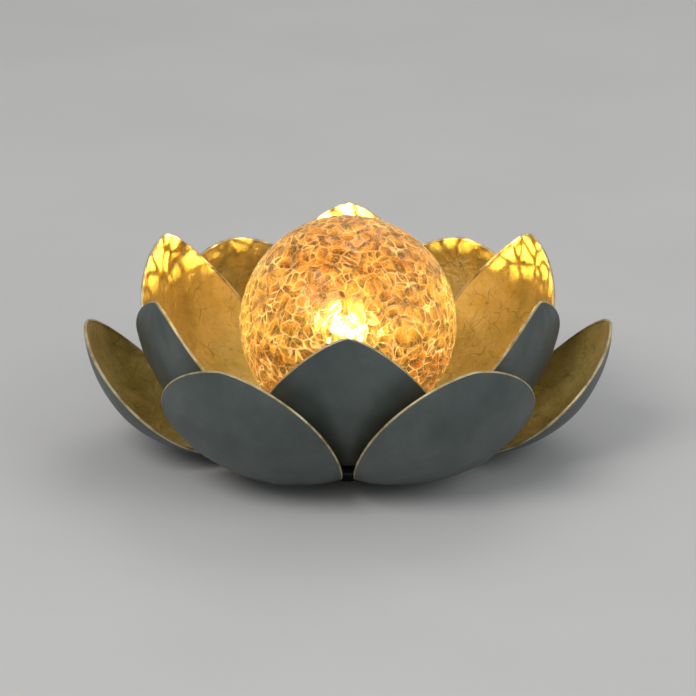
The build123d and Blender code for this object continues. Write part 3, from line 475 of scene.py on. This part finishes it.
def petal_mesh(name, spec, lean, angle, phase, materials):
    """One petal: slate skin outside, gold skin inside, rolled cream rim, and its riveted tab."""
    shape = PetalShape(spec, lean)
    length = shape.length - RIM_INSET
    stations = []
    half_rows = PETAL_ROWS // 2
    for i in range(half_rows):
        stations.append(spec["widest_at"] * i / half_rows)
    for i in range(half_rows + 1):
        ease = math.sin(math.pi / 2 * i / half_rows)
        stations.append(spec["widest_at"] + (length - spec["widest_at"]) * ease)
    widths = [max(0.0, shape.half_width(s * shape.length / length) - RIM_INSET) for s in stations]
    widths[-1] = 0.0
    last = len(stations) - 1

    def grid_point(i, j):
        return stations[i], widths[i] * (2 * j / PETAL_COLUMNS - 1)

    # The outline, walked once round: left side, tip, right side, root
    outline = [(i, 0) for i in range(1, last)] + [(last, 0)]
    outline += [(i, PETAL_COLUMNS) for i in range(last - 1, 0, -1)]
    outline += [(0, j) for j in range(PETAL_COLUMNS, -1, -1)]
    centres = [shape.point(*grid_point(i, j), RIM_RADIUS) for i, j in outline]
    count = len(outline)
    vertices, ring = [], {}
    first_angle = math.pi / 2
    last_angle = math.asin((SHEET - RIM_RADIUS) / RIM_RADIUS) - math.pi
    inside = shape.point(stations[last] * 0.5, 0, SHEET / 2)
    for k, (i, j) in enumerate(outline):
        tangent = centres[(k + 1) % count] - centres[k - 1]
        tangent /= np.linalg.norm(tangent)
        along, across = grid_point(i, j)
        normal = shape.point(along, across, 0) - shape.point(along, across, SHEET)
        normal /= np.linalg.norm(normal)
        side = np.cross(tangent, normal)
        side /= np.linalg.norm(side)
        if np.dot(side, centres[k] - inside) < 0:
            side = -side
        ring[(i, j)] = len(vertices)
        for step in range(RIM_STEPS + 1):
            swing = first_angle + (last_angle - first_angle) * step / RIM_STEPS
            spoke = math.cos(swing) * side + math.sin(swing) * normal
            vertices.append(centres[k] + RIM_RADIUS * spoke)
    grids = ({}, {})
    for face, depth in ((SLATE_SLOT, 0.0), (GOLD_SLOT, SHEET)):
        for i in range(1, last):
            for j in range(1, PETAL_COLUMNS):
                along, across = grid_point(i, j)
                lift = waviness(along, across, length, widths[i], phase)
                grids[face][(i, j)] = len(vertices)
                vertices.append(shape.point(along, across, depth + lift))

    def corner(face, i, j):
        if i == last:
            j = 0
        if (i, j) in ring:
            return ring[(i, j)] + (RIM_STEPS if face else 0)
        return grids[face][(i, j)]

    faces, slots = [], []
    for face in (SLATE_SLOT, GOLD_SLOT):
        for i in range(last):
            for j in range(PETAL_COLUMNS):
                around = ((i, j), (i, j + 1), (i + 1, j + 1), (i + 1, j))
                loop = list(dict.fromkeys(corner(face, *place) for place in around))
                if len(loop) < 3:
                    continue
                faces.append(loop[::-1] if face else loop)
                slots.append(face)
    for k in range(count):
        first, second = ring[outline[k]], ring[outline[(k + 1) % count]]
        for step in range(RIM_STEPS):
            faces.append([first + step, first + step + 1, second + step + 1, second + step])
            slots.append(RIM_SLOT)
    # Flat tab, without its two rivet holes, which the rivet heads cover
    base = len(vertices)
    profile = [
        (spec["tab_inner"], TAB_HALF_WIDTH - TAB_BEVEL),
        (spec["tab_inner"] + TAB_BEVEL, TAB_HALF_WIDTH),
        (spec["root"][0] + TAB_REACH, TAB_HALF_WIDTH),
    ]
    tab_line = profile + [(x, -y) for x, y in reversed(profile)]
    for z in (spec["tab_bottom"], spec["tab_bottom"] + SHEET):
        vertices += [np.array([x, y, z]) for x, y in tab_line]
    n = len(tab_line)
    faces += [list(range(base, base + n)), list(range(base + 2 * n - 1, base + n - 1, -1))]
    slots += [SLATE_SLOT, SLATE_SLOT]
    for k in range(n):
        faces.append([base + k, base + (k + 1) % n, base + n + (k + 1) % n, base + n + k][::-1])
        slots.append(SLATE_SLOT)
    turn = math.radians(angle)
    spin = np.array([
        [math.cos(turn), -math.sin(turn), 0],
        [math.sin(turn), math.cos(turn), 0],
        [0, 0, 1],
    ])
    made = new_object(name, [spin @ v for v in vertices], faces, slots, materials)
    work = bmesh.new()
    work.from_mesh(made.data)
    bmesh.ops.recalc_face_normals(work, faces=work.faces)
    for edge in work.edges:
        kinds = {f.material_index for f in edge.link_faces}
        edge.smooth = len(kinds) == 1 and edge.calc_face_angle(0) < CREASE
    work.to_mesh(made.data)
    work.free()
    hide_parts(name.replace("_sheet", ""))
    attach(made, "flower")
    return made


# ---------------------------------------------------------------- crackled globe
CRACK_SEED = 11
CRACK_CELLS = 1150
CRACK_DEPTH = 0.30 * MM
CRACK_WIDTH = 0.9 * MM
CELL_STEP = 0.22 * MM
SWELL = 0.25 * MM
BATCH = 4096                # directions handled at once, to save memory


def crackle_field(directions):
    """Depth below the sphere of a shattered surface, at unit directions."""
    rng = np.random.default_rng(CRACK_SEED)
    seeds = rng.normal(size=(CRACK_CELLS, 3))
    seeds /= np.linalg.norm(seeds, axis=1)[:, None]
    bend = 0.035 * np.sin(17 * directions[:, [1, 2, 0]] + np.array([0.3, 1.1, 2.7]))
    looked = directions + bend
    looked /= np.linalg.norm(looked, axis=1)[:, None]
    depth = np.empty(len(directions))
    steps = rng.uniform(0, 1, CRACK_CELLS)
    for start in range(0, len(looked), BATCH):
        near = looked[start:start + BATCH] @ seeds.T
        two = np.argpartition(-near, 2, axis=1)[:, :2]
        values = np.take_along_axis(near, two, axis=1)
        order = np.argsort(-values, axis=1)
        best = np.take_along_axis(two, order, axis=1)
        values = np.take_along_axis(values, order, axis=1)
        gap = np.arccos(np.clip(values[:, 1], -1, 1)) - np.arccos(np.clip(values[:, 0], -1, 1))
        valley = np.exp(-(gap * GLOBE_RADIUS / CRACK_WIDTH) ** 2)
        depth[start:start + BATCH] = CRACK_DEPTH * valley + CELL_STEP * steps[best[:, 0]]
    x, y, z = directions.T
    swell = np.sin(5 * x + 1.0) * np.sin(6 * y + 2.0) * np.sin(4 * z)
    return depth + SWELL * (0.5 + 0.5 * swell)


def globe_mesh(name, material):
    """Thick glass shell, cut off at its mouth, crackled outside and smooth inside."""
    rim_height = MOUTH_Z - GLOBE_CENTRE.z
    work = bmesh.new()
    skins = []
    for radius, detail in ((GLOBE_RADIUS, 7), (GLOBE_RADIUS - GLASS, 5)):
        shell = bmesh.ops.create_icosphere(work, subdivisions=detail, radius=radius)["verts"]
        faces = {f for v in shell for f in v.link_faces}
        edges = {e for v in shell for e in v.link_edges}
        cut = bmesh.ops.bisect_plane(
            work, geom=list(shell) + list(edges) + list(faces), dist=1e-7,
            plane_co=(0, 0, rim_height), plane_no=(0, 0, -1), clear_outer=True,
        )
        rim = [g for g in cut["geom_cut"] if isinstance(g, bmesh.types.BMEdge)]
        skins.append(rim)
    for face in work.faces:
        face.smooth = True
        if face.calc_center_median().length < GLOBE_RADIUS - GLASS / 2:
            face.normal_flip()
    bmesh.ops.bridge_loops(work, edges=skins[0] + skins[1])
    bmesh.ops.recalc_face_normals(work, faces=work.faces)
    outer = [v for v in work.verts if v.co.length > GLOBE_RADIUS - GLASS / 2]
    directions = np.array([tuple(v.co.normalized()) for v in outer])
    depths = crackle_field(directions)
    for vertex, depth in zip(outer, depths):
        ease = min(1.0, max(0.0, (vertex.co.z - rim_height) / (2 * MM)))
        vertex.co *= 1 - depth * ease / GLOBE_RADIUS
    for vertex in work.verts:
        vertex.co += GLOBE_CENTRE
    mesh = bpy.data.meshes.new(name)
    work.to_mesh(mesh)
    work.free()
    mesh.materials.append(material)
    made = bpy.data.objects.new(name, mesh)
    bpy.context.scene.collection.objects.link(made)
    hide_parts("glass_globe")
    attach(made, "globe")
    return made


# ---------------------------------------------------------------- the object
petal_materials = [slate_paint(), gold_leaf(), cream_rim()]
petals = []
for index in range(PETALS_PER_RING):
    angle = FRONT + index * PITCH
    petals.append(petal_mesh(
        f"outer_petal_{index + 1}_sheet", OUTER, OUTER_LEAN[index],
        angle + PITCH / 2, 1.3 * index + 0.4, petal_materials,
    ))
    petals.append(petal_mesh(
        f"inner_petal_{index + 1}_sheet", INNER, 0.0,
        angle, 1.7 * index + 2.1, petal_materials,
    ))

globe = globe_mesh("crackle_globe", amber_crackle())
# The globe's own glow stays off the petals, so that the thrown pattern keeps its contrast
globe.visible_diffuse = False

slate = petal_materials[0]
black_plastic = plain("black_plastic", (0.012, 0.012, 0.013), (0.026, 0.026, 0.028), 0.48, 60, 1100, 0.35)
seal_rubber = plain("seal_rubber", (0.008, 0.008, 0.008), (0.018, 0.018, 0.018), 0.72, 120, 800, 0.3)
rivet_metal = plain("rivet_paint", (0.055, 0.070, 0.068), (0.090, 0.110, 0.105), 0.38, 200, 700, 0.2, 0.3)
screw_steel = brushed("screw_steel", (0.42, 0.42, 0.43), (0.66, 0.66, 0.68), 0.34)
nickel = brushed("nickel_plate", (0.60, 0.58, 0.52), (0.80, 0.78, 0.72), 0.26)
white_plastic = plain("post_plastic", (0.66, 0.62, 0.52), (0.80, 0.77, 0.68), 0.34, 90, 900, 0.15)
board_white = plain("board_coat", (0.70, 0.70, 0.68), (0.84, 0.84, 0.82), 0.40, 300, 900, 0.15)
switch_black = plain("switch_plastic", (0.010, 0.010, 0.011), (0.020, 0.020, 0.022), 0.36, 150, 900, 0.2)
cell_jacket = plain("cell_jacket", (0.020, 0.140, 0.060), (0.035, 0.210, 0.090), 0.30, 130, 600, 0.1)
button_rubber = plain("button_rubber", (0.13, 0.13, 0.13), (0.19, 0.19, 0.19), 0.60, 200, 900, 0.3)
foot_rubber = plain("foot_rubber", (0.010, 0.010, 0.010), (0.022, 0.022, 0.021), 0.80, 150, 700, 0.4)
lit_lens = lens_material()

node_materials = {
    "base_dish": slate,
    "outer_petal_rivets": rivet_metal,
    "inner_petal_rivets": rivet_metal,
    "rubber_feet": foot_rubber,
    "float_ring": foam(),
    "lamp_housing": black_plastic,
    "battery_cover": black_plastic,
    "housing_deck": black_plastic,
    "globe_collar": black_plastic,
    "battery_cover_gasket": seal_rubber,
    "housing_seal": seal_rubber,
    "globe_seal": seal_rubber,
    "cover_screws": screw_steel,
    "deck_screws": screw_steel,
    "solar_panel": solar_cells(),
    "led_post": white_plastic,
    "led_board": board_white,
    "led_emitter": lit_lens,
    "led_lens": lit_lens,
    "circuit_board": circuit_laminate(),
    "power_switch": switch_black,
    "battery": cell_jacket,
    "battery_contact": nickel,
    "battery_spring": nickel,
    "power_button": button_rubber,
}
for node, material in node_materials.items():
    cad_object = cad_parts[node]
    cad_object.data.materials.clear()
    cad_object.data.materials.append(material)

# ---------------------------------------------------------------- the light inside
def lamp(name, kind, place, power, colour, size, aim, **settings):
    """A light at a place, looking at aim. size is a softbox's width or a small source's radius."""
    data = bpy.data.lights.new(name, kind)
    data.energy = power
    data.color = colour
    if kind == "AREA":
        data.shape = "DISK"
        data.size = size
    else:
        data.shadow_soft_size = size
    for key, value in settings.items():
        setattr(data, key, value)
    made = bpy.data.objects.new(name, data)
    made.location = place
    made.rotation_euler = (Vector(aim) - Vector(place)).to_track_quat("-Z", "Y").to_euler()
    bpy.context.scene.collection.objects.link(made)
    return made


LED_LIFT = 1.2 * MM
LED_RADIUS = 1.0 * MM
led_place = Vector((0, 0, led_high[2] + LED_LIFT))

# Only the petals shade the LED's light: the globe's shade is the crack pattern in the lights' own nodes
petal_blockers = bpy.data.collections.new("petal_blockers")
for petal in petals:
    petal_blockers.objects.link(petal)


class LightShader(Shader):
    """The same wrapper for a light's own nodes; its coordinates are where each ray meets the globe.

    On a light, the surface normal is the direction from the light to what it lights."""

    def __init__(self, data):
        data.use_nodes = True
        self.tree = data.node_tree
        self.tree.nodes.clear()
        self.out = self.tree.nodes.new("ShaderNodeOutputLight")
        heading = self.tree.nodes.new("ShaderNodeNewGeometry").outputs["Normal"]
        start = led_place - GLOBE_CENTRE
        along = self.vector("DOT_PRODUCT", heading, tuple(start), "Value")
        room = GLOBE_RADIUS ** 2 - start.length_squared
        square = self.math("ADD", self.math("MULTIPLY", along, along), room)
        reach = self.math("SUBTRACT", self.math("SQRT", square), along)
        step = self.tree.nodes.new("ShaderNodeVectorMath")
        step.operation = "SCALE"
        self.put(step.inputs[0], heading)
        self.put(step.inputs["Scale"], reach)
        self.coords = self.vector("ADD", step.outputs[0], tuple(led_place))


def crackled(data, walls):
    """Lets a light out between the globe's dark cracks. Each wall it passes tints it again."""
    s = LightShader(data)
    wide = crack_lines(s)[1]
    crack = s.ramp(wide, [(0.04, 1.0), (0.15, 0.0)])
    wall = s.mix(crack, (1.0, 0.93, 0.66), (0.04, 0.020, 0.003))
    colour = wall
    for _ in range(walls - 1):
        colour = s.mix(1.0, colour, wall, "MULTIPLY")
    glow = s.tree.nodes.new("ShaderNodeEmission")
    s.put(glow.inputs["Color"], colour)
    s.tree.links.new(glow.outputs[0], s.out.inputs["Surface"])


def led_light(name, kind, power, colour, receivers, walls, **settings):
    """One share of the LED's light, thrown on the receivers only, in the globe's crack pattern."""
    aim = led_place + Vector((0, 0, 1))
    made = lamp(name, kind, led_place, power, colour, LED_RADIUS, aim, **settings)
    made.data.use_soft_falloff = True
    made.visible_transmission = False
    lit = bpy.data.collections.new(name + "_receivers")
    for receiver in receivers:
        lit.objects.link(receiver)
    made.light_linking.receiver_collection = lit
    made.light_linking.blocker_collection = petal_blockers
    crackled(made.data, walls)
    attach(made, "lamp")


led_light(
    "led_upward", "SPOT", 6.5, (1.0, 0.90, 0.64), petals, 2,
    spot_size=math.radians(179), spot_blend=0.25,
)
led_light("led_spill", "POINT", 0.012, (1.0, 0.80, 0.42), petals, 2)
led_light("led_core", "POINT", 0.42, (1.0, 0.78, 0.34), [globe], 1)

# ---------------------------------------------------------------- studio
FLOOR_RADIUS = 14.0
FLOOR_CORNERS = 48


def floor():
    """Wide flat pale floor."""
    s = Shader("studio_floor")
    cloud = s.noise(6, 4.0).outputs["Fac"]
    tone = s.ramp(cloud, [(0.3, (0.66, 0.65, 0.63)), (0.7, (0.70, 0.69, 0.67))])
    shader = s.principled(Base_Color=tone, Normal=s.bump(s.noise(500, 3.0).outputs["Fac"], 0.08, 0.0003))
    shader.inputs["Roughness"].default_value = 0.75
    material = s.surface(shader.outputs[0])
    turns = [2 * math.pi * k / FLOOR_CORNERS for k in range(FLOOR_CORNERS)]
    vertices = [(FLOOR_RADIUS * math.cos(turn), FLOOR_RADIUS * math.sin(turn), 0.0) for turn in turns]
    disc = [list(range(FLOOR_CORNERS))]
    made = new_object("studio_floor", vertices, disc, [0], [material], smooth=False)


floor()
lamp("key_softbox", "AREA", (-0.9, -1.1, 1.5), 14.0, (1.0, 0.98, 0.95), 1.2, (0, 0, 0.05))
lamp("fill_softbox", "AREA", (1.3, -0.8, 0.9), 6.0, (0.95, 0.97, 1.0), 1.4, (0, 0, 0.05))
lamp("back_softbox", "AREA", (0.3, 1.0, 1.3), 3.5, (1.0, 0.97, 0.92), 1.0, (0, 0, 0.06))

world = bpy.data.worlds.new("studio_air")
bpy.context.scene.world = world
world.use_nodes = True
world.node_tree.nodes["Background"].inputs["Color"].default_value = (0.80, 0.83, 0.88, 1)
world.node_tree.nodes["Background"].inputs["Strength"].default_value = 0.42

# Camera at the photograph's viewing angle: from the front, looking down a little
VIEW_ELEVATION = math.radians(19.2)
VIEW_DISTANCE = 2.0
AIM = Vector((0, 0, 0.048))
camera_data = bpy.data.cameras.new("camera")
camera_data.sensor_width = 36.0
camera_data.lens = 225.0
camera_data.clip_start = 0.05
camera_data.clip_end = 50.0
camera = bpy.data.objects.new("camera", camera_data)
towards_camera = Vector((0, -math.cos(VIEW_ELEVATION), math.sin(VIEW_ELEVATION)))
camera.location = AIM + VIEW_DISTANCE * towards_camera
camera.rotation_euler = (AIM - camera.location).to_track_quat("-Z", "Y").to_euler()
bpy.context.scene.collection.objects.link(camera)
bpy.context.scene.camera = camera
bpy.context.scene.view_settings.view_transform = "Standard"
